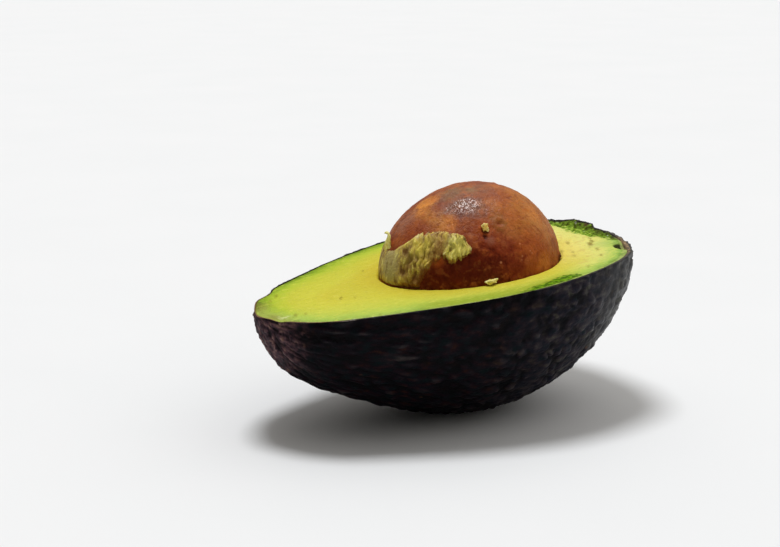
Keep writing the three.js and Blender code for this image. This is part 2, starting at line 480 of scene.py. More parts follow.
def torn(points, from_skin):
    """How torn the flesh is, 0 to 1: a ragged band inside the rim, TEAR_EDGE gives its width at each y."""
    x, y, _ = points.T
    reach = np.interp(y, *np.array(TEAR_EDGE).T) + 1.5 * waves(points, (2.2, 2.8, 2.0), layers=3, seed=12.0)
    band = ease(from_skin, reach + 0.5, reach - 0.5)
    return band * ease(x, 84.0, 90.0) * ease(y, 21.0, 15.0) * ease(y, -19.0, -14.0)


def turned(x, y, angle):
    """How far along a line at this angle, and how far across it."""
    return x * math.cos(angle) + y * math.sin(angle), y * math.cos(angle) - x * math.sin(angle)


def pit(x, y):
    along, across = turned(x - PIT_AT[0], y - PIT_AT[1], PIT_TURN)
    return np.exp(-(((along / PIT_HALF[0]) ** 2 + (across / PIT_HALF[1]) ** 2) ** 1.5))


x, y = points[:, 0], points[:, 1]
tear = torn(points, from_skin) * on_face
height = 0.12 * waves(points, (16.0, 8.0, 8.0), layers=2, seed=2.0)
height += 0.05 * waves(points, (5.0, 0.7, 1.0), layers=3, seed=5.0)
height += 0.06 * waves(points, (2.4, 1.6, 1.0), layers=2, seed=6.0)
height += tear * (0.55 * waves(points, (1.7, 2.4, 1.0), layers=4, seed=9.0) - 0.2)
height += knife_step(x, y) * (1.0 - ease(from_skin, 0.8, 3.0)) - pit(x, y) - stem_notch(x, y)
height -= 0.15 * (1.0 - ease(from_skin, 0.0, 0.4)) + 0.35 * (1.0 - ease(from_seed, 0.0, 0.7))
points[:, 2] += height * on_face
lay_down(flesh, points, floor=wall * (inward < IN_HOLLOW), from_skin=from_skin, from_seed=from_seed,
         torn=tear, pit=ease(pit(x, y), 0.25, 0.6) * on_face)

# %% [markdown]
# The seed is a ball that is a little longer than wide and fatter towards the blossom end. Under its papery
# coat it has soft lumps, fine wrinkles, a ringed dimple on the near side, and a tiny bump on its crown. A
# Displace modifier could raise the lumps, but moving the vertices puts each mark where it belongs. An ico
# sphere has no poles, so no wrinkles gather at a point.

# %% Shape the seed
DIMPLE_AT, CROWN_AT = (57.8, -17.5, 13.2), (68.4, -0.7, 18.9)
SCAR_AT, SCAR_FOOT = (53.4, -17.3, 12.3), (52.7, -18.0, 11.0)
FRILL_AT = (75.8, -17.0, 0.4)


def beside(points, place, size, ring=0.0):
    """1 at the place, or on a ring of this radius round it, and fading to 0 at this size away."""
    away = np.linalg.norm(points - np.array(place), axis=1)
    return np.exp(-(((away - ring) / size) ** 2))


start_afresh()
bpy.ops.mesh.primitive_ico_sphere_add(subdivisions=7, radius=1.0)
seed = new_piece("avocado_seed")
ball = places(seed)
points = seed_skin(np.arctan2(ball[:, 1], ball[:, 0]), np.arcsin(np.clip(ball[:, 2], -1.0, 1.0)))
wrinkles = 1.0 - 2.0 * np.abs(waves(points, (2.2, 1.5, 1.8), layers=2, seed=30.0))
relief = 0.18 * waves(points, 6.0, layers=2, seed=31.0) + 0.045 * wrinkles
relief += 0.05 * waves(points, 1.8, layers=2, seed=33.0)
relief += 0.18 * beside(points, DIMPLE_AT, 0.6, ring=1.35) - 0.4 * beside(points, DIMPLE_AT, 0.7)
relief -= 0.5 * beside(points, SCAR_AT, 0.7) + 0.5 * beside(points, SCAR_FOOT, 0.5)
relief += 0.3 * beside(points, CROWN_AT, 0.6)
relief *= ease(points[:, 2], 0.2, 1.5)
relief += 0.7 * beside(points, FRILL_AT, 1.2) * ease(points[:, 2], -0.2, 0.5)
lay_down(seed, points + seed_outward(points) * relief[:, None])

# %% [markdown]
# When the fruit was twisted open, the other half left some flesh on the seed: a flake that hugs its stem
# side, smooth and thin at the left and torn into clumps at the right. It could be cut out of a copy of the
# seed, but a flat sheet is easier to measure: it is drawn out into a slab and wrapped round the seed, so that
# its columns are degrees and its rows are heights. One table gives its thickness from end to end, and noise
# tears its edges and raises its clumps and upright fibres.

# %% The flake's outline
# Each row has the degrees round the seed from the blossom end, and the height or the thickness there, in mm.
PATCH_TOP = np.array([
    (148, 2.6), (150, 5.6), (154, 8.0), (160, 9.1), (171, 7.4), (179, 8.0), (189, 10.3), (198, 12.4),
    (214, 12.9), (219, 12.8), (223, 12.5), (229, 12.5), (235, 12.0), (238, 10.4), (241, 8.6),
])
PATCH_FOOT = np.array([
    (148, 0.6), (205, 0.6), (207, 2.2), (209, 4.0), (212, 5.4), (214, 6.8), (216, 5.7), (218, 7.4),
    (223, 7.2), (226, 5.8), (229, 6.0), (234, 6.8), (241, 7.8),
])
PATCH_BODY = np.array([
    (148, 0.1), (172, 0.16), (181, 0.4), (190, 0.85), (204, 1.15), (211, 1.1), (217, 0.45), (223, 0.75),
    (230, 1.35), (241, 0.9),
])
FOOT_ENDS, FOOT_LEVEL = 205.0, 0.15  # up to here the flake's foot is pressed against the cut face


def beside_seed(degrees, height, proud):
    """The point this far proud of the seed, in that direction from its middle and at that height."""
    cosine, sine = np.cos(np.radians(degrees)), np.sin(np.radians(degrees))
    a, b, c = SEED_HALF + proud
    reach = b
    for _ in range(4):
        swell = 1.0 + SEED_SWELL * reach * cosine / a
        level = 1.0 - ((height - SEED_CENTRE[2]) / (c * swell)) ** 2
        reach = np.sqrt(np.clip(level, 0.01, None) / ((cosine / a) ** 2 + (sine / (b * swell)) ** 2))
    return np.column_stack([SEED_CENTRE[0] + reach * cosine, SEED_CENTRE[1] + reach * sine, height])


def drawn_up(name, steps):
    """Names the flat shape that was just added, and draws it up into a closed solid, step by step."""
    piece = new_piece(name)
    bpy.ops.object.mode_set(mode="EDIT")
    bpy.ops.mesh.select_all(action="SELECT")
    for _ in range(steps):
        bpy.ops.mesh.extrude_region_move(TRANSFORM_OT_translate={"value": (0.0, 0.0, 1.0)})
    bpy.ops.mesh.select_all(action="SELECT")
    bpy.ops.mesh.normals_make_consistent(inside=False)
    bpy.ops.object.mode_set(mode="OBJECT")
    return piece


print(f"the flake is up to {PATCH_BODY[:, 1].max()} mm thick")

# %% Shape the flake
LEFT_RISE, RIGHT_RISE, LEVEL_RISE = 12.0, 40.0, 9.0  # how steeply the flake thickens in from its edges

start_afresh()
bpy.ops.mesh.primitive_grid_add(x_subdivisions=300, y_subdivisions=90, size=1.0, location=(0.0, 0.0, 0.0))
patch = drawn_up("avocado_pulp_patch", 1)
across, up, proud = (places(patch) + (0.5, 0.5, 0.0)).T
degrees = PATCH_TOP[0, 0] + across * (PATCH_TOP[-1, 0] - PATCH_TOP[0, 0])
ragged = flat_points(degrees / 2.4, 0.0 * up)
tattered = ease(degrees, 184.0, 202.0)
top = np.interp(degrees, *PATCH_TOP.T) + (0.2 + 0.3 * tattered) * waves(ragged, 1.0, layers=3, seed=40.0)
foot = np.interp(degrees, *PATCH_FOOT.T) + 0.7 * waves(ragged, 0.8, layers=4, seed=50.0)
foot = np.where(degrees < FOOT_ENDS, np.minimum(foot, FOOT_LEVEL), foot)
height = foot + (top - foot) * up
spread = flat_points(degrees * 0.38, height)
fibres = waves(spread, (0.7, 2.4, 1.0), layers=2, seed=60.0)
clumps = waves(spread, (1.7, 3.0, 1.0), layers=2, seed=70.0)
from_end = np.minimum(across * LEFT_RISE, (1.0 - across) * RIGHT_RISE)
from_edge = np.minimum(from_end, np.minimum(up, 1.0 - up) * LEVEL_RISE)
body = np.interp(degrees, *PATCH_BODY.T) * (0.9 + tattered * (0.75 * clumps + 0.45 * fibres))
tearing = 1.3 * tattered + 2.5 * ease(degrees, 158.0, 148.0)
torn_edge = tearing * waves(flat_points(across * 3.0, height), 1.6, layers=3, seed=80.0)
raised = -0.12 + proud * (0.14 + ease(from_edge, 0.0, 1.0) * np.clip(body, 0.04, None))
points = beside_seed(degrees + torn_edge, height, 0.0)
lower_edge = np.minimum(up * LEVEL_RISE, (1.0 - across) * RIGHT_RISE + 6.0 * ease(up, 0.4, 0.8))
lay_down(patch, points + seed_outward(points) * raised[:, None], clump=clumps * proud, fibre=fibres * proud,
         thin=(1.0 - ease(lower_edge, 0.0, 2.2)) * ease(degrees, 180.0, 196.0))

# %% [markdown]
# One torn strip of the flake stands up and away from the seed, and its tip curls over. A bevelled curve would
# be as thick as wide, so it is drawn out of a small disc instead, step by step along a path, wide at its foot
# and narrow at its tip, and joined to the flake as one object. A value that a piece doesn't note down reads
# as 0, so the curl only says how high its clump is.

# %% The curl
# The middle of the strip at even steps along it, and half its width and thickness there.
CURL_PATH = np.array([
    (37.2, 2.7, 6.2), (37.2, 2.5, 8.0), (37.2, 2.3, 9.2), (37.2, 1.7, 10.3), (37.2, 1.4, 11.1),
    (37.2, 1.7, 11.7), (37.1, 2.5, 11.9), (37.0, 3.1, 11.7),
])
CURL_HALF = np.array([
    (1.9, 0.4), (1.75, 0.4), (1.45, 0.36), (0.9, 0.32), (0.6, 0.3), (0.42, 0.28), (0.34, 0.25), (0.16, 0.14),
])
CURL_SIDES, CURL_STEPS = 20, 42
CURL_BACK = (-1.0, 0.0, 0.3)

start_afresh()
bpy.ops.mesh.primitive_circle_add(vertices=CURL_SIDES, radius=1.0, fill_type="TRIFAN")
curl = drawn_up("avocado_curl", CURL_STEPS)
rod = places(curl)
step = rod[:, 2]
knots = np.linspace(0.0, CURL_STEPS, len(CURL_PATH))
middle = np.column_stack([np.interp(step, knots, axis) for axis in CURL_PATH.T])
heading = np.column_stack([np.interp(step, knots, np.gradient(axis)) for axis in CURL_PATH.T])
half = np.column_stack([np.interp(step, knots, axis) for axis in CURL_HALF.T])
sideways = unit(np.cross(heading, CURL_BACK))
facing = unit(np.cross(sideways, heading))
wobble = 1.0 + 0.3 * waves(rod, (1.0, 1.0, 4.0), layers=2, seed=90.0)
points = middle + (rod[:, :1] * half[:, :1] * sideways + rod[:, 1:2] * half[:, 1:] * facing) * wobble[:, None]
lay_down(curl, points, clump=0.7 + 0.9 * step / CURL_STEPS)
patch.select_set(True)
bpy.context.view_layer.objects.active = patch
bpy.ops.object.join()
print("the flake with its curl:", len(patch.data.vertices), "vertices")

# %% [markdown]
# The two crumbs are bits of the same flesh: a wedge on the cut face at the seed's foot, and a small ragged
# bit beside the dimple. At this size a crumb is mostly its outline, so a ball of small triangles is squashed
# to size and roughened, and its corners are pulled out as short arms.

# %% Shape the crumbs
def crumb(name, half, degrees, height, away, seed, arm_width, arms):
    start_afresh()
    bpy.ops.mesh.primitive_ico_sphere_add(subdivisions=5, radius=1.0)
    piece = new_piece(name)
    ball = places(piece)
    lumps = 1.0 + 0.4 * waves(ball, 0.8, layers=4, seed=seed)
    for *towards, reach in arms:
        arm = unit(np.array([towards]))[0]
        lumps += reach * np.exp((ball @ arm - 1.0) / arm_width)
    centre = beside_seed(np.array([degrees]), np.array([height]), away)
    lay_down(piece, centre + ball * np.array(half) * lumps[:, None], clump=0.2 + 0.6 * lumps)
    return piece


crumb_foot = crumb(
    "avocado_crumb_foot", (1.2, 0.8, 0.62), degrees=251.0, height=0.9, away=1.1, seed=100.0, arm_width=0.09,
    arms=((-0.85, 0.5, 0.3, 0.5), (0.9, -0.3, 0.5, 0.5), (0.6, -0.5, -0.5, 0.3)))
crumb_crown = crumb(
    "avocado_crumb_crown", (0.8, 0.6, 0.85), degrees=255.0, height=13.0, away=0.3, seed=110.0, arm_width=0.1,
    arms=((0.6, -0.3, -0.85, 0.9), (-0.7, 0.3, 0.5, 0.5), (0.6, -0.3, 0.6, 0.35), (-0.6, 0.3, -0.6, 0.3)))

# %% [markdown]
# A finish is a little machine of nodes. Two small classes make it pleasant to write: a `Value` is one number
# that changes over a surface, and adding or multiplying values adds Math nodes, while `Nodes` makes all the
# other nodes with one method. A colour of three numbers, 0 to 255, is one as a screen shows it.

# %% Values and nodes
class Value:
    """A socket that carries a number. Sums written with it become Math nodes."""

    def __init__(self, nodes, socket):
        self.nodes, self.socket = nodes, socket

    def sum(self, operation, first, second):
        return self.nodes.node("Math", {"operation": operation}, {0: first, 1: second})

    def __add__(self, other):
        return self.sum("ADD", self, other)

    def __sub__(self, other):
        return self.sum("SUBTRACT", self, other)

    def __rsub__(self, other):
        return self.sum("SUBTRACT", other, self)

    def __mul__(self, other):
        return self.sum("MULTIPLY", self, other)

    def __truediv__(self, other):
        return self.sum("DIVIDE", self, other)

    def __pow__(self, other):
        return self.sum("POWER", self, other)

    __radd__, __rmul__ = __add__, __mul__


def tone(red, green, blue):
    """A colour as a screen shows it, in the linear values that a shader needs."""
    shares = [value / 255.0 for value in (red, green, blue)]
    light = [share / 12.92 if share <= 0.04045 else ((share + 0.055) / 1.055) ** 2.4 for share in shares]
    return (*light, 1.0)


def set_stops(ramp, stops):
    while len(ramp.elements) < len(stops):
        ramp.elements.new(1.0)
    for element, (position, colour) in zip(ramp.elements, stops):
        element.position, element.color = position, tone(*colour)


class Nodes:
    """A tree of nodes that grows as they are asked for."""

    def __init__(self, tree):
        self.tree = tree

    def node(self, kind, settings, inputs, out=0):
        """One node: its type, the settings it has, and the values or links of its inputs."""
        node = self.tree.nodes.new("ShaderNode" + kind)
        for setting, value in settings.items():
            if setting == "stops":
                set_stops(node.color_ramp, value)
            else:
                setattr(node, setting, value)
        for name, value in inputs.items():
            self.plug(value, node.inputs[name])
        return Value(self, node.outputs[out])

    def plug(self, value, socket):
        if isinstance(value, Value):
            self.tree.links.new(value.socket, socket)
        elif socket.type == "RGBA" and len(value) == 3:
            socket.default_value = tone(*value)
        else:
            socket.default_value = value

    def ease(self, value, start, end, low=0.0, high=1.0):
        """Low before start and high after end, with a soft step between."""
        return self.node("MapRange", {"interpolation_type": "SMOOTHSTEP"}, {
            "Value": value, "From Min": start, "From Max": end, "To Min": low, "To Max": high})

    def blend(self, share, under, over, kind="MIX"):
        """Lays a colour over another. On this node, the sockets for colours are 6 and 7, and 2 comes out."""
        settings = {"data_type": "RGBA", "blend_type": kind}
        return self.node("Mix", settings, {0: share, 6: under, 7: over}, out=2)

    def paint(self, colour, *layers):
        """Lays layers over a colour in turn: each has how much of it shows, its tone, and how it blends."""
        for share, shade, *kind in layers:
            colour = self.blend(share, colour, shade, *kind)
        return colour


print("a mid grey on the screen is", round(tone(128, 128, 128)[0], 3), "to a shader")

# %% [markdown]
# The patterns read the fruit's own frame in millimetres, like the shapes. A Mapping node turns a place on
# the laid-down object back into it: it scales metres to millimetres, undoes the tip, and moves the origin.

# %% A finish and its patterns
ORIGIN_X = -(LAID_X * TILT_COS + LAID_Z * TILT_SIN)
ORIGIN_Z = -(LAID_Z * TILT_COS - LAID_X * TILT_SIN)
EVEN = (1.0, 1.0, 1.0)


class Finish(Nodes):
    """A material, with the patterns that are used again and again."""

    def __init__(self, name):
        self.material = bpy.data.materials.new(name)
        self.material.use_nodes = True
        super().__init__(self.material.node_tree)
        self.shader = self.tree.nodes["Principled BSDF"]
        self.place = self.node("Mapping", {}, {
            "Vector": self.node("TexCoord", {}, {}, out="Object"), "Location": (ORIGIN_X, 0.0, ORIGIN_Z),
            "Rotation": (0.0, TIP_UP, 0.0), "Scale": (1.0 / MM,) * 3})

    def set(self, **sockets):
        """Sets or links the shader's own sockets, with _ for the spaces in their names."""
        for name, value in sockets.items():
            self.plug(value, self.shader.inputs[name.replace("_", " ")])

    def axis(self, name):
        """How far along the fruit's own X, Y or Z each point is, in mm."""
        return self.node("SeparateXYZ", {}, {0: self.place}, out=name)

    def kept(self, name):
        """A value that was noted down at the vertices."""
        return self.node("Attribute", {"attribute_name": name}, {}, out="Fac")

    def spread(self, size, stretch, seed, place=None):
        """Places in units of this size in mm, drawn out by stretch, and moved on by the seed."""
        return self.node("Mapping", {}, {
            "Vector": place or self.place, "Location": (seed,) * 3,
            "Scale": tuple(1.0 / (size * longer) for longer in stretch)})

    def noise(self, size, detail=2.0, stretch=EVEN, seed=0.0, distortion=0.0, place=None):
        """Soft noise from 0 to 1."""
        return self.node("TexNoise", {}, {
            "Vector": self.spread(size, stretch, seed, place), "Scale": 1.0, "Detail": detail,
            "Distortion": distortion})

    def cells(self, size, seed):
        """Distance to the middle of the nearest cell."""
        place = self.spread(size, EVEN, seed)
        return self.node("TexVoronoi", {"feature": "F1"}, {"Vector": place, "Scale": 1.0}, out="Distance")

    def near(self, place, radius, soft, ragged, seen=None):
        """1 within this radius of a place in mm, and 0 outside it. Ragged moves the edge in and out."""
        ends = {0: seen or self.place, 1: place}
        apart = self.node("VectorMath", {"operation": "DISTANCE"}, ends, out="Value")
        return self.ease(apart + ragged, radius + soft, radius - soft)

    def ramp(self, value, *stops):
        return self.node("ValToRGB", {"stops": stops}, {0: value})

    def bump(self, height, distance):
        return self.node("Bump", {}, {"Height": height, "Distance": distance * MM, "Strength": 1.0})

    def dab(self, colour, dabs, ragged):
        """Dabs of other tones: each has a place, a radius, a soft edge, a strength and a tone."""
        return self.paint(colour, *(
            (self.near(place, radius, soft, ragged * (0.2 * radius + 0.05)) * strength, shade)
            for place, radius, soft, strength, shade in dabs))


print(f"the part's origin is at ({ORIGIN_X:.2f}, 0, {ORIGIN_Z:.2f}) mm in the fruit's frame")

# %% [markdown]
# The skin of a ripe fruit is a very dark purple brown, lighter and rosy round the stem, greener and greyer at
# the blossom end, and a little shiny on the tops of the pebbles, which rub against things. Its cut edge is
# corky brown. A painted picture would fix the skin's look to one shape, so the tones come from ramps over
# noise. The relief that was noted down picks out the tops and the creases: the tops are lighter, which is
# partly wear and partly a painted highlight, and the creases get a near black painted shade.

# %% The skin's patterns
rind = Finish("avocado_skin")
x = rind.axis("X")
relief, into = rind.kept("relief"), rind.kept("cut_edge")
rolled = rind.node("CombineXYZ", {}, {"X": rind.kept("along"), "Y": rind.kept("round")})
at_ends = rind.ease(x, *TIP_BEGINS) + rind.ease(x, 18.0, 8.0) * 0.75


def skin_noise(size, detail, length, seed):
    """Noise that is drawn out lengthwise on the back, and nearly even all round over the two ends."""
    drawn_out = rind.noise(size, detail=detail, stretch=(length, 1.0, 1.0), seed=seed, place=rolled)
    even = rind.noise(size, detail=detail, seed=seed)
    return drawn_out + (even - drawn_out) * at_ends


mottle = skin_noise(6.0, 4.0, 2.0, 1.0)
hue = skin_noise(1.9, 5.0, 1.6, 7.0)
grain = skin_noise(0.7, 3.0, 1.8, 2.0)
cork_grain = rind.noise(0.8, detail=4.0, seed=3.0)
ragged = (mottle - 0.5) * 26.0
print("the skin's noise is even beyond", TIP_BEGINS[1], "mm")

# %% The skin's tones
dark = rind.ramp(hue, (0.3, (3, 16, 18)), (0.42, (8, 11, 16)), (0.52, (14, 6, 14)), (0.62, (26, 9, 14)),
                 (0.72, (40, 20, 14)))
stem_brown = rind.ramp(
    hue, (0.34, (20, 18, 22)), (0.46, (58, 40, 48)), (0.56, (96, 68, 72)), (0.66, (142, 110, 100)))
blossom_grey = rind.ramp(
    hue, (0.3, (10, 24, 30)), (0.44, (26, 26, 38)), (0.56, (46, 40, 46)), (0.7, (74, 74, 66)))
blossom_pale = rind.ramp(
    hue, (0.3, (24, 30, 30)), (0.44, (38, 38, 42)), (0.56, (56, 55, 52)), (0.7, (82, 82, 70)))
cork = rind.ramp(
    cork_grain, (0.36, (40, 30, 16)), (0.46, (92, 70, 38)), (0.58, (134, 104, 58)), (0.7, (176, 150, 98)))
near_cork = rind.near((*CORK_AT, 0.0), 8.0, 4.0, (mottle - 0.5) * 6.0)
stem_cork = rind.near((4.0, -2.0, 0.0), 17.0, 5.0, (mottle - 0.5) * 6.0)
fleck = rind.ease(rind.cells(7.0, seed=5.0), 0.10, 0.04) * rind.ease(mottle, 0.45, 0.6)
colour = rind.paint(
    dark,
    (rind.ease(x + ragged * 0.15, 5.5, 0.5), stem_brown),
    (rind.ease(x + ragged * 0.8, 40.0, 76.0), blossom_grey),
    (rind.ease(x + ragged * 0.3, 70.0, 88.0), blossom_pale),
    # Painted shade: the creases between the pebbles are darkened to near black.
    (rind.ease(relief, -0.05, -0.4) * 0.8, (3, 3, 4)),
    # Lighter tops of the pebbles: partly wear, partly a painted highlight.
    (rind.ease(relief, 0.22, 0.55) * 0.3, (74, 62, 58)),
    (fleck * 0.45, (104, 72, 50)),
    (rind.ease(into + (cork_grain - 0.5) * 0.5, 0.02, 0.2) * rind.ease(into, 0.0, 0.05),
     rind.blend(stem_cork * 0.9, (34, 26, 15), (126, 94, 64))),
    (rind.ease(into + (cork_grain - 0.5) * 0.6, 0.3, 0.5) * near_cork, cork),
)
rubbed = rind.ease(relief, -0.1, 0.4) * rind.ease(hue, 0.36, 0.6) * 0.3
rind.set(
    Base_Color=colour,
    Roughness=0.52 + 0.2 * mottle - 0.12 * rind.kept("pebble_top"),
    Specular_IOR_Level=0.06,
    Coat_Weight=rubbed + rind.ease(x + ragged * 0.3, 66.0, 92.0) * 0.45,
    Coat_Roughness=0.3,
    Normal=rind.bump(grain + 0.5 * rind.cells(1.0, seed=6.0), 0.25),
)
print("the skin has", len(rind.tree.nodes), "nodes")

# %% [markdown]
# Ripe flesh is green under the skin and turns through yellow green to butter yellow by the seed. A ramp
# along one axis could not follow the outline, so the distances that were noted down at the vertices drive
# that change, and noise makes its line wander. The flesh is moist, so light goes a little way in, and it
# shines softly.

# %% The flesh from skin to seed
YELLOW_AT = 16.0  # mm from the skin

meat = Finish("avocado_flesh")
x, y = meat.axis("X"), meat.axis("Y")
skin_away, seed_away = meat.kept("from_skin"), meat.kept("from_seed")
drift = meat.noise(7.0, detail=4.0, stretch=(1.8, 1.0, 1.0), seed=1.0)
streak = meat.noise(0.9, detail=5.0, stretch=(2.6, 1.0, 1.0), seed=2.0, distortion=0.5)
speckle = meat.noise(0.5, detail=3.0, seed=3.0)
blotch = meat.noise(1.8, detail=4.0, seed=4.0)
depth = skin_away + (drift - 0.5) * 4.0 + (streak - 0.5) * 3.0 + (speckle - 0.5) * 1.2 + (blotch - 0.5) * 1.5
share = depth / YELLOW_AT
far_side = meat.ramp(
    share, (0.0, (100, 130, 28)), (0.05, (130, 160, 36)), (0.13, (156, 184, 46)), (0.26, (184, 201, 58)),
    (0.5, (203, 204, 66)), (0.8, (210, 208, 70)), (1.0, (209, 201, 66)))
near_side = meat.ramp(
    share, (0.0, (142, 172, 76)), (0.07, (168, 198, 86)), (0.22, (184, 206, 86)), (0.45, (202, 209, 80)),
    (0.9, (212, 208, 72)))
right_side = meat.ramp(
    share, (0.0, (112, 146, 60)), (0.07, (150, 186, 84)), (0.16, (186, 208, 100)), (0.32, (222, 224, 124)),
    (0.8, (238, 232, 140)))
strip = meat.ease(y, -14.0, -24.0) * meat.ease(x, 24.0, 36.0) * meat.ease(x, 74.0, 62.0)
warm = meat.ease(seed_away + (drift - 0.5) * 6.0, 10.0, 0.0)
tan_mottle = meat.ease(blotch + (speckle - 0.5) * 0.3, 0.5, 0.66) * meat.ease(x, 70.0, 80.0)
body = meat.paint(
    far_side,
    (meat.ease(y, 4.0, -10.0), near_side),
    (meat.ease(x + (drift - 0.5) * 10.0, 68.0, 82.0) * 0.9, right_side),
    (strip * meat.ease(depth, 7.5, 2.5) * 0.7, (148, 166, 36)),
    (warm * 0.5, (218, 192, 50)),
    (meat.ease(streak, 0.54, 0.72) * 0.4, (228, 224, 104)),
    (meat.ease(streak, 0.46, 0.3) * 0.2, (172, 172, 44)),
    (meat.ease(speckle, 0.42, 0.26) * 0.2, (150, 144, 44)),
    (tan_mottle * meat.ease(depth, 3.0, 7.0) * 0.42, (212, 186, 96)),
)
print(f"the flesh turns from green to yellow over {YELLOW_AT:.0f} mm")

# %% [markdown]
# The knife and the air leave marks: a shredded band, green bruises along the near rim, a brown socket and
# pale threads by the stem, and small brown flecks that lie in lines. Each is a soft round patch at its own
# place, and noise makes its edge ragged. The flecks are long, so they are read on a face that is turned and
# shortened. A pale line along the near edge of the cut is a painted highlight, and so are the palest specks
# on the threads by the stem.

# %% Where the marks on the flesh lie
FLECK_TURN, FLECK_LENGTH = math.radians(58.6), 2.6
# Each bruise has a place on the cut face, a radius, a soft edge and a strength.
BRUISES = (
    ((52.6, -33.2), 1.2, 0.8, 0.7), ((56.2, -33.4), 1.7, 0.9, 0.95), ((58.4, -33.2), 2.1, 0.9, 0.95),
    ((60.6, -32.8), 2.0, 0.9, 1.0), ((64.0, -32.0), 1.9, 0.9, 1.0), ((66.8, -31.6), 1.8, 0.8, 1.0),
    ((69.4, -32.0), 1.2, 0.6, 0.9))
# Each fleck has a place on the cut face, a radius and a strength, and all of them have the same soft edge.
FLECK_EDGE = 0.45
FLECKS = (
    ((85.6, -7.3), 0.5, 0.6), ((88.9, -12.4), 0.8, 0.75), ((90.9, -10.6), 0.6, 0.7),
    ((86.9, -17.7), 0.45, 0.6), ((84.0, -22.9), 0.4, 0.6), ((79.9, -12.0), 0.6, 0.45),
    ((79.1, -18.1), 0.5, 0.4), ((81.2, -15.0), 0.4, 0.5), ((84.0, -5.0), 0.35, 0.4), ((81.6, -8.2), 0.4, 0.4),
    ((92.3, -8.1), 0.4, 0.6), ((76.0, -27.6), 0.4, 0.4), ((19.9, -2.2), 0.35, 0.75), ((22.7, -4.2), 0.2, 0.4),
    ((35.5, 13.7), 0.25, 0.5), ((9.4, 12.1), 0.5, 0.5), ((6.5, 9.5), 0.35, 0.5), ((5.6, -5.5), 0.5, 0.55),
    ((7.6, -6.6), 0.3, 0.5), ((87.0, -14.6), 0.3, 0.4))


def on_lines(place):
    """A place on the cut face, as the long flecks see it: turned to lie along X, and shortened."""
    along, across = turned(*place, FLECK_TURN)
    return along / FLECK_LENGTH, across, 0.0


print("the flesh has", len(BRUISES), "bruises and", len(FLECKS), "flecks")

# %% The marks on the flesh
shreds = meat.noise(0.9, detail=5.0, stretch=(1.3, 1.3, 1.0), seed=7.0)
torn_colour = meat.ramp(
    shreds + skin_away * 0.05, (0.38, (34, 36, 10)), (0.5, (74, 84, 20)), (0.64, (102, 132, 32)),
    (0.78, (146, 180, 56)), (0.94, (208, 216, 110)))
ragged = (drift - 0.5) * 3.0 + (shreds - 0.5) * 3.0
bruised = meat.blend(meat.ease(shreds, 0.42, 0.64), (70, 104, 0), (112, 160, 6))
pale_stem = meat.near((1.0, -1.0, 0.0), 7.5, 4.0, ragged) * meat.ease(depth, 4.0, 0.0)
stem_tan = meat.near((1.6, 7.6, 0.0), 3.0, 2.2, ragged) + meat.near((0.6, -3.0, 0.0), 1.0, 1.2, ragged)
fleck_face = meat.node("Mapping", {"vector_type": "TEXTURE"}, {
    "Vector": meat.place, "Rotation": (0.0, 0.0, FLECK_TURN), "Scale": (FLECK_LENGTH, 1.0, 1.0)})
# A painted highlight: a pale line along the near edge of the cut face, by the skin.
painted_rim_highlight = meat.ease(skin_away, 0.6, 0.2) * meat.ease(y, -6.0, -14.0)
body = meat.paint(
    body,
    (meat.kept("torn"), torn_colour),
    *((meat.near((*place, 0.0), radius, soft, ragged) * strength, bruised)
      for place, radius, soft, strength in BRUISES),
    (pale_stem * 0.6, (186, 196, 96)),
    (stem_tan * 0.35, (140, 116, 62)),
    (meat.near((0.9, -7.0, 0.0), 1.0, 0.6, ragged * 0.4) * 0.9, (40, 30, 18)),
    # Painted highlights: the palest specks on the pale threads by the stem.
    (meat.near((2.8, -4.6, 0.0), 0.8, 0.7, (shreds - 0.5) * 6.0) * 0.6, (232, 236, 170)),
    (meat.near((91.0, -15.0, 0.0), 2.6, 3.0, ragged) * 0.5, (166, 194, 104)),
    (meat.kept("pit"), (42, 46, 8)),
    (meat.near((99.2, 1.6, 0.0), 1.3, 0.7, ragged * 0.4) * 0.9, (84, 66, 34)),
    *((meat.near(on_lines(place), 0.8 * radius, FLECK_EDGE, (speckle - 0.5) * 1.4, seen=fleck_face)
       * strength, (116, 92, 14)) for place, radius, strength in FLECKS),
    (painted_rim_highlight * meat.ease(drift, 0.36, 0.52) * 0.5, (196, 208, 128)),
)
meat.set(
    Base_Color=body,
    Roughness=0.4 + 0.24 * streak,
    Subsurface_Weight=0.12,
    Subsurface_Radius=(1.0, 0.8, 0.35),
    Subsurface_Scale=0.7 * MM,
    Specular_IOR_Level=0.015,
    Coat_Weight=meat.ease(blotch, 0.57, 0.66) * 0.15,
    Coat_Roughness=0.2,
    Normal=meat.bump(streak + 0.9 * speckle + 0.6 * blotch, 0.26),
)
print("the flesh has", len(meat.tree.nodes), "nodes")

# %% [markdown]
# The coat of the seed is thin brown paper over a pale kernel, and it is marbled: orange where it is thin,
# maroon where it is thick and wet, and a dull olive grey on the crown, where it has begun to dry. Low on the
# near side, by the flesh, it turns a deep wine red, which is partly its own colour and partly painted shade.
# Noise alone would marble it anywhere, so each patch is a dab at its own place, and noise only breaks its
# edge.

# %% The tones of the seed coat, and where they lie
AMBER, ORANGE, OCHRE = (232, 152, 68), (214, 132, 56), (200, 132, 60)
OLIVE, ROSE, PALE = (144, 116, 76), (164, 108, 82), (224, 150, 104)
BRICK, RUST, CHESTNUT = (152, 74, 36), (170, 82, 28), (136, 88, 62)
MAROON, WINE, SHADE = (126, 46, 18), (92, 27, 6), (58, 14, 8)
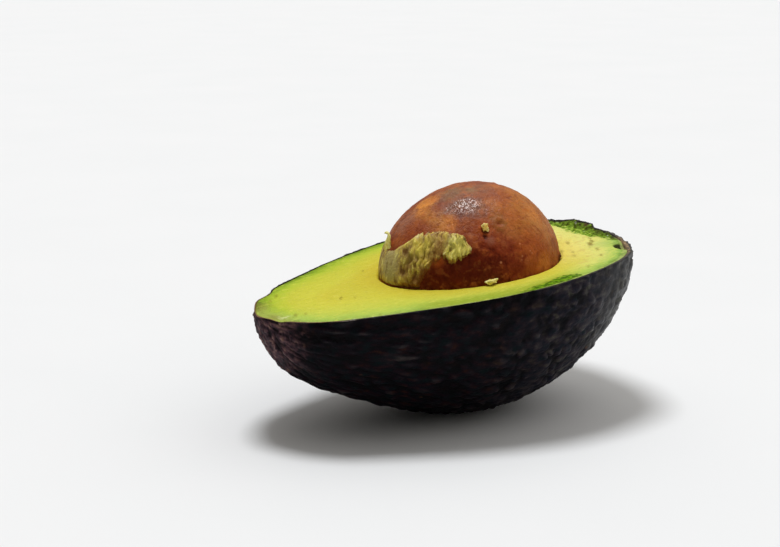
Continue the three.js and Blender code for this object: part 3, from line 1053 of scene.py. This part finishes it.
# Each dab has a place, a radius, a soft edge, a strength and a tone.
COAT_DABS = (
    ((66.7, -13.8, 15.3), 9.0, 4.0, 0.75, (184, 116, 46)),
    ((70.1, -18.0, 8.5), 5.0, 3.0, 0.6, (188, 128, 68)),
    ((74.0, -10.0, 10.0), 6.0, 4.0, 0.6, (186, 128, 74)), ((62.5, -9.5, 18.6), 3.5, 2.5, 0.6, BRICK),
    ((65.0, -21.5, 5.0), 5.0, 2.5, 0.75, RUST), ((67.3, -21.7, 1.8), 2.4, 1.6, 0.5, ORANGE),
    ((69.5, -15.0, 12.5), 2.2, 1.6, 0.5, ORANGE), ((62.0, -16.0, 14.0), 2.4, 1.6, 0.5, RUST),
    ((51.0, -5.0, 18.5), 4.6, 2.5, 0.75, CHESTNUT), ((54.2, -2.7, 19.5), 3.0, 2.0, 0.5, OLIVE),
    ((61.0, -6.0, 19.7), 2.6, 2.2, 0.6, CHESTNUT), ((53.2, -11.0, 17.2), 3.6, 1.8, 0.7, (112, 74, 52)),
    ((61.9, -12.2, 17.3), 2.8, 1.8, 0.4, BRICK), ((57.6, -5.3, 19.7), 1.5, 1.2, 0.8, OLIVE),
    ((48.1, 0.3, 17.5), 2.6, 1.5, 0.9, AMBER), ((45.7, -0.5, 16.3), 2.8, 1.8, 0.8, AMBER),
    ((49.9, -0.7, 18.3), 1.8, 1.2, 0.7, ORANGE), ((47.0, -11.0, 14.3), 1.9, 1.2, 0.85, ORANGE),
    ((45.2, -9.1, 14.3), 2.2, 1.5, 0.7, OCHRE), ((45.5, -5.2, 15.9), 2.0, 1.4, 0.6, OCHRE),
    ((48.1, -4.9, 17.2), 1.5, 1.2, 0.6, BRICK), ((42.1, 1.3, 13.7), 3.6, 2.0, 0.9, ROSE),
    ((41.5, -4.1, 13.0), 2.5, 1.6, 0.6, BRICK), ((43.4, -8.1, 12.8), 1.6, 1.2, 0.6, BRICK),
    ((54.8, -18.1, 11.7), 3.2, 2.0, 0.75, BRICK), ((50.2, -17.3, 10.6), 3.2, 2.0, 0.75, MAROON),
    ((52.5, -16.3, 13.2), 2.0, 1.2, 0.6, RUST), ((52.2, -20.2, 6.9), 4.6, 2.2, 0.85, MAROON),
    ((56.0, -22.0, 4.0), 4.2, 1.8, 0.85, MAROON), ((58.6, -21.0, 7.8), 1.5, 1.0, 0.7, MAROON),
    # The wine red dabs low on the near side darken the seed's foot by the flesh: partly its colour, partly
    # painted shade.
    ((47.2, -18.7, 5.2), 5.0, 2.0, 0.9, WINE), ((42.6, -16.5, 2.6), 4.6, 2.0, 0.9, WINE),
    ((39.4, -13.8, 2.6), 3.6, 1.6, 0.9, WINE), ((50.8, -20.8, 2.0), 4.6, 1.8, 0.9, WINE),
    ((41.1, -13.6, 6.6), 1.3, 1.0, 0.8, RUST), ((44.3, -18.0, 0.9), 0.9, 0.8, 0.6, MAROON),
    ((53.5, -18.9, 9.9), 0.9, 0.9, 0.5, ROSE), ((50.8, -14.6, 13.8), 2.2, 1.4, 0.45, (132, 60, 24)),
    ((60.6, -21.1, 7.4), 1.6, 1.2, 0.6, RUST), ((49.5, -16.8, 11.8), 0.8, 0.6, 0.5, PALE),
    (DIMPLE_AT, 2.2, 1.2, 0.6, (152, 100, 48)), ((57.6, -17.7, 12.9), 0.7, 0.5, 0.6, BRICK),
    ((53.5, -17.3, 12.1), 0.7, 0.5, 0.85, SHADE), ((52.7, -17.9, 11.0), 0.5, 0.4, 0.9, SHADE),
    ((75.6, -17.2, 0.6), 1.0, 0.6, 0.8, SHADE), ((63.1, -21.8, 5.8), 0.18, 0.2, 0.7, PALE),
    ((63.5, -21.9, 5.1), 0.18, 0.2, 0.7, PALE), ((60.3, -22.2, 5.1), 0.16, 0.2, 0.6, PALE),
    ((59.9, -22.3, 4.3), 0.16, 0.2, 0.6, PALE), ((54.3, -21.6, 4.7), 0.2, 0.2, 0.6, PALE),
    ((60.7, -21.0, 7.9), 0.2, 0.2, 0.5, PALE),
)
print(len(COAT_DABS), "dabs on the seed coat")

# %% The seed coat
coat = Finish("avocado_seed_coat")
big = coat.noise(5.0, detail=5.0, seed=1.0, distortion=0.5)
middle_size = coat.noise(2.4, detail=5.0, seed=5.0, distortion=0.8)
small = coat.noise(1.1, detail=5.0, seed=2.0)
fine = coat.noise(0.34, seed=4.0)
creases = coat.noise(0.55, detail=3.0, stretch=(1.0, 1.0, 2.6), seed=8.0, distortion=0.6)
veins = coat.ease(coat.noise(3.0, detail=5.0, seed=3.0, distortion=0.8), 0.5, 0.6)
marbling = middle_size * 0.6 + small * 0.4
ragged = (big - 0.5) * 8.0 + (small - 0.5) * 7.0
brown = coat.ramp(
    big * 0.6 + middle_size * 0.4, (0.34, (132, 58, 26)), (0.5, (156, 82, 42)), (0.66, (186, 114, 60)))
colour = coat.paint(
    coat.dab(brown, COAT_DABS, ragged),
    (coat.ease(marbling, 0.5, 0.64) * 0.3, ORANGE, "SOFT_LIGHT"),
    (coat.ease(marbling, 0.52, 0.62) * 0.14, OCHRE),
    (coat.ease(marbling, 0.48, 0.38) * 0.35, RUST, "MULTIPLY"),
    (veins * 0.22, MAROON),
    (coat.ease(creases, 0.45, 0.34) * 0.16, BRICK, "MULTIPLY"),
    (coat.ease(fine + (small - 0.5) * 0.6, 0.42, 0.3) * 0.2, WINE),
)
moist = coat.near((52.4, -10.9, 17.1), 4.4, 3.6, ragged * 0.5)
coat.set(
    Base_Color=colour,
    Roughness=0.46 + 0.2 * (small - 0.5),
    Specular_IOR_Level=0.07,
    Coat_Weight=moist * coat.ease(fine + (small - 0.5) * 0.4, 0.5, 0.6) * 0.46,
    Coat_Roughness=0.24,
    Normal=coat.bump(0.8 * small + 0.4 * fine + 0.5 * creases, 0.3),
)
print("the seed coat has", len(coat.tree.nodes), "nodes")

# %% [markdown]
# The torn flesh dries first, so it is duller than the cut face. The clumps and fibres that shaped it were
# noted down, and its tones follow them: tan green in their hollows and yellow to cream on their tops, which
# is partly their own colour and partly painted shade and painted highlight. Where it thins out towards its
# lower edge, the brown of the seed comes through.

# %% The tones of the torn flesh, and where they lie
CREAM, LEMON, STRAW = (246, 236, 156), (224, 206, 84), (202, 174, 84)
SAND, UMBER, EMBER = (164, 136, 76), (124, 80, 32), (214, 124, 46)
# Each dab has a place, a radius, a soft edge, a strength and a tone.
PULP_DABS = (
    ((35.2, -1.4, 4.7), 4.4, 2.0, 0.85, (176, 160, 104)),
    ((34.6, -2.2, 2.0), 2.6, 1.4, 0.5, (160, 150, 92)),
    ((36.6, 5.4, 3.6), 2.2, 1.2, 0.6, SAND), ((36.2, 2.9, 6.0), 0.7, 0.6, 0.7, UMBER),
    ((37.2, -7.6, 6.2), 3.0, 1.8, 0.62, (126, 98, 44)),
    ((36.6, -9.3, 3.0), 3.0, 1.6, 0.62, (134, 96, 48)),
    ((38.0, -12.0, 2.4), 2.8, 1.2, 0.7, (118, 68, 28)), ((38.6, -12.4, 4.2), 1.4, 1.0, 0.5, UMBER),
    ((40.0, -9.6, 9.4), 2.4, 1.2, 0.6, LEMON), ((39.2, -11.2, 6.6), 1.4, 0.8, 0.6, (206, 182, 66)),
    ((43.7, -11.8, 11.8), 2.0, 1.2, 0.6, (190, 150, 84)), ((42.3, -13.2, 9.0), 1.9, 0.8, 0.8, UMBER),
    ((41.2, -13.6, 6.2), 1.1, 0.6, 0.9, EMBER), ((45.8, -16.1, 8.8), 3.0, 0.9, 0.6, (214, 208, 96)),
    # The two cream dabs on the lobe's top and its tip are painted highlights.
    ((46.4, -14.2, 11.2), 1.4, 0.8, 0.85, CREAM), ((48.3, -17.5, 8.8), 0.9, 0.5, 0.7, CREAM),
    ((44.6, -16.6, 6.8), 0.9, 0.6, 0.7, LEMON), ((40.6, -7.0, 11.6), 1.0, 0.8, 0.6, CREAM),
    ((37.6, -7.6, 6.7), 1.8, 1.0, 0.6, (122, 98, 36)),
    ((40.8, -12.1, 7.6), 1.6, 0.8, 0.65, (132, 92, 30)),
    ((41.9, -11.0, 11.0), 1.3, 0.8, 0.5, (160, 138, 56)),
    ((44.7, -16.2, 7.0), 1.1, 0.6, 0.6, (124, 106, 28)),
    ((53.5, -17.6, 13.2), 3.0, 0.6, 0.85, (222, 180, 82)), ((54.6, -17.8, 13.0), 0.35, 0.3, 0.9, UMBER),
)
print(len(PULP_DABS), "dabs on the torn flesh")

# %% The torn flesh
pulp = Finish("avocado_torn_flesh")
fleece = pulp.noise(0.7, seed=1.0)
tufts = pulp.noise(1.1, detail=3.0, stretch=(1.0, 1.0, 2.4), seed=5.0, distortion=0.6)
soft_spots = pulp.noise(2.2, detail=3.0, seed=3.0)
ragged = (soft_spots - 0.5) * 6.0 + (fleece - 0.5) * 5.0
# Mix is higher on raised clumps and fibres, so the ramp below paints their tops lighter and their hollows
# darker: partly painted highlight and painted shade.
mix = 0.44 + 0.45 * pulp.kept("clump") + 0.25 * pulp.kept("fibre") + (fleece - 0.5) * 0.4 + (tufts - 0.5)
colour = pulp.ramp(mix, (0.05, UMBER), (0.3, SAND), (0.52, STRAW), (0.75, LEMON), (1.0, CREAM))
film = pulp.kept("thin") + (fleece - 0.5) * 1.6 + (tufts - 0.5) * 0.8
colour = pulp.paint(
    pulp.dab(colour, PULP_DABS, ragged),
    # Painted shade in the hollows, where mix is low, and a painted cream highlight on the tops, where it is
    # high.
    (pulp.ease(mix, 0.3, 0.0) * 0.65, (96, 66, 28)),
    (pulp.ease(mix, 0.62, 0.95) * 0.5, CREAM),
    (pulp.ease(film, 0.5, 0.85) * 0.75, (112, 54, 22)),
)
pulp.set(
    Base_Color=colour,
    Roughness=0.5 + 0.2 * fleece,
    Subsurface_Weight=0.15,
    Subsurface_Radius=(1.0, 0.7, 0.25),
    Subsurface_Scale=1.0 * MM,
    Specular_IOR_Level=0.12,
    Normal=pulp.bump(fleece + 0.5 * tufts, 0.22),
)
print("the torn flesh has", len(pulp.tree.nodes), "nodes")

# %% [markdown]
# Each piece now gets its finish. It also rides on the part's one body, and takes the place of the imported
# node that it was made after. The flake and both crumbs are the same torn flesh, so they share a finish.

# %% Put each finish on its piece, and tie the pieces to the imported part
PIECES = (
    (peel, rind, "peel", "skin"),
    (flesh, meat, "flesh", "flesh"),
    (seed, coat, "seed", "seed_coat"),
    (patch, pulp, "pulp_patch", "torn_flesh"),
    (crumb_foot, pulp, "pulp_crumb_foot", "torn_flesh"),
    (crumb_crown, pulp, "pulp_crumb_crown", "torn_flesh"),
)
for piece, finish, node, slot in PIECES:
    piece.data.materials.clear()
    piece.data.materials.append(finish.material)
    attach(piece, "root")
    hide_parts(node)
print("pieces:", ", ".join(piece.name for piece, *_ in PIECES))

# %% [markdown]
# The table is a wide pale sheet, a little cooler than the light that falls on it. A plane is enough, because
# its edge is far out of sight.

# %% The table
FLOOR_SIDE = 16.0
start_afresh()
bpy.ops.mesh.primitive_plane_add(size=FLOOR_SIDE, location=(0.0, 0.0, 0.0))
floor = new_piece("table")
table_finish = Finish("pale_table")
table_finish.set(
    Base_Color=table_finish.blend(table_finish.noise(60.0), (228, 231, 234), (232, 234, 237)),
    Roughness=0.8,
    Specular_IOR_Level=0.15,
)
floor.data.materials.append(table_finish.material)
print(f"the table is {FLOOR_SIDE:.0f} m wide")

# %% [markdown]
# Two far lamps do small jobs. One is only seen where it shines in something, above all as the wet glints on
# top of the seed, and the other lights the side of the blossom end a little. A sun lamp is the same
# everywhere, so it needs a direction and no place.

# %% The far lamps
def far_lamp(name, towards, degrees, energy, lights=True):
    """A lamp far away in this direction, this many degrees wide. It may shine without lighting anything."""
    start_afresh()
    bpy.ops.object.light_add(type="SUN")
    sun = bpy.context.object
    sun.name = name
    sun.data.energy = energy
    sun.data.angle = math.radians(degrees)
    sun.rotation_euler = Vector(towards).to_track_quat("Z", "Y").to_euler()
    sun.visible_diffuse = lights
    print(f"{name}: {degrees:.0f} degrees wide")


far_lamp("ceiling_shine", (0.120, 0.300, 0.950), 27.0, 5.2, lights=False)
far_lamp("side_window", (0.85, -0.10, 0.90), 60.0, 0.3)

# %% [markdown]
# The main lamp is a soft ball close above the fruit, because a close lamp throws a shadow that is a little
# larger than the fruit. Light fades with the square of the distance, and once more where it meets the table
# at a slant, so the lamp's strength grows with the third power of the ray's length, and the whole table is
# lit evenly.

# %% The close lamp
LAMP_AT, LAMP_RADIUS, LAMP_POWER = (-0.036, 0.033, 0.45), 0.066, 5.15
start_afresh()
bpy.ops.object.light_add(type="POINT", location=LAMP_AT)
close_lamp = bpy.context.object
close_lamp.name = "close_ceiling_lamp"
close_lamp.visible_glossy = False
close_lamp.data.energy = LAMP_POWER
close_lamp.data.shadow_soft_size = LAMP_RADIUS
close_lamp.data.use_nodes = True
bulb = Nodes(close_lamp.data.node_tree)
in_heights = bulb.node("LightPath", {}, {}, out="Ray Length") / LAMP_AT[2]
bulb.plug(in_heights**3.0, bulb.tree.nodes["Emission"].inputs["Strength"])
print(f"the close lamp hangs {LAMP_AT[2] * 100:.0f} cm over the table")

# %% [markdown]
# The room fills the shadow, but mostly from one side: it is bright above and to the right, and dim
# elsewhere, which leaves the table under the fruit dark. Its light is a little warm, so the shadow, which it
# alone fills, is warmer than the cool white table. The camera sees a plain pale backdrop instead of it.

# %% The pale room
BRIGHT_SIDE = Vector((0.70, 0.12, 0.85)).normalized()
FADE_BEGINS, FADE_ENDS = -0.2, 0.9
DIM, BRIGHT, BACKGROUND = 0.055, 0.62, 0.9
WARM, WHITE = (1.0, 0.95, 0.88, 1.0), (1.0, 1.0, 1.0, 1.0)
world = bpy.data.worlds.new("pale_room")
bpy.context.scene.world = world
world.use_nodes = True
room = Nodes(world.node_tree)
direction = room.node("TexCoord", {}, {}, out="Generated")
facing = room.node("VectorMath", {"operation": "DOT_PRODUCT"}, {0: direction, 1: BRIGHT_SIDE}, out="Value")
fade = room.ease(facing, FADE_BEGINS, FADE_ENDS, DIM, BRIGHT)
seen = room.node("LightPath", {}, {}, out="Is Camera Ray")
backdrop = room.tree.nodes["Background"]
room.plug(room.node("Mix", {}, {"Factor": seen, "A": fade, "B": BACKGROUND}), backdrop.inputs["Strength"])
room.plug(room.blend(seen, WARM, WHITE), backdrop.inputs["Color"])
bpy.context.scene.view_settings.view_transform = "Standard"
print(f"the room is {BRIGHT / DIM:.0f} times as bright on its bright side")

# %% [markdown]
# The camera looks down on the fruit at a low slant, from the near side of the stem end. A long lens from
# further away keeps the near end of the fruit from looming.

# %% The camera
CAMERA_AT = (-0.2126, -0.3140, 0.1226)
BACK = Vector((-0.5076, -0.8316, 0.2255))
LENS = 70.0
bpy.ops.object.camera_add(location=CAMERA_AT)
camera = bpy.context.object
camera.name = "camera"
camera.rotation_euler = BACK.to_track_quat("Z", "Y").to_euler()
camera.data.lens = LENS
bpy.context.scene.camera = camera
print(f"the camera looks {math.degrees(math.asin(BACK.z / BACK.length)):.0f} degrees down")

# %% [markdown]
# The finished pieces come out a millimetre or two longer than the imported part, from the relief and the
# swelling below the stem, and no more.

# %% Finish
print("the scene is built")
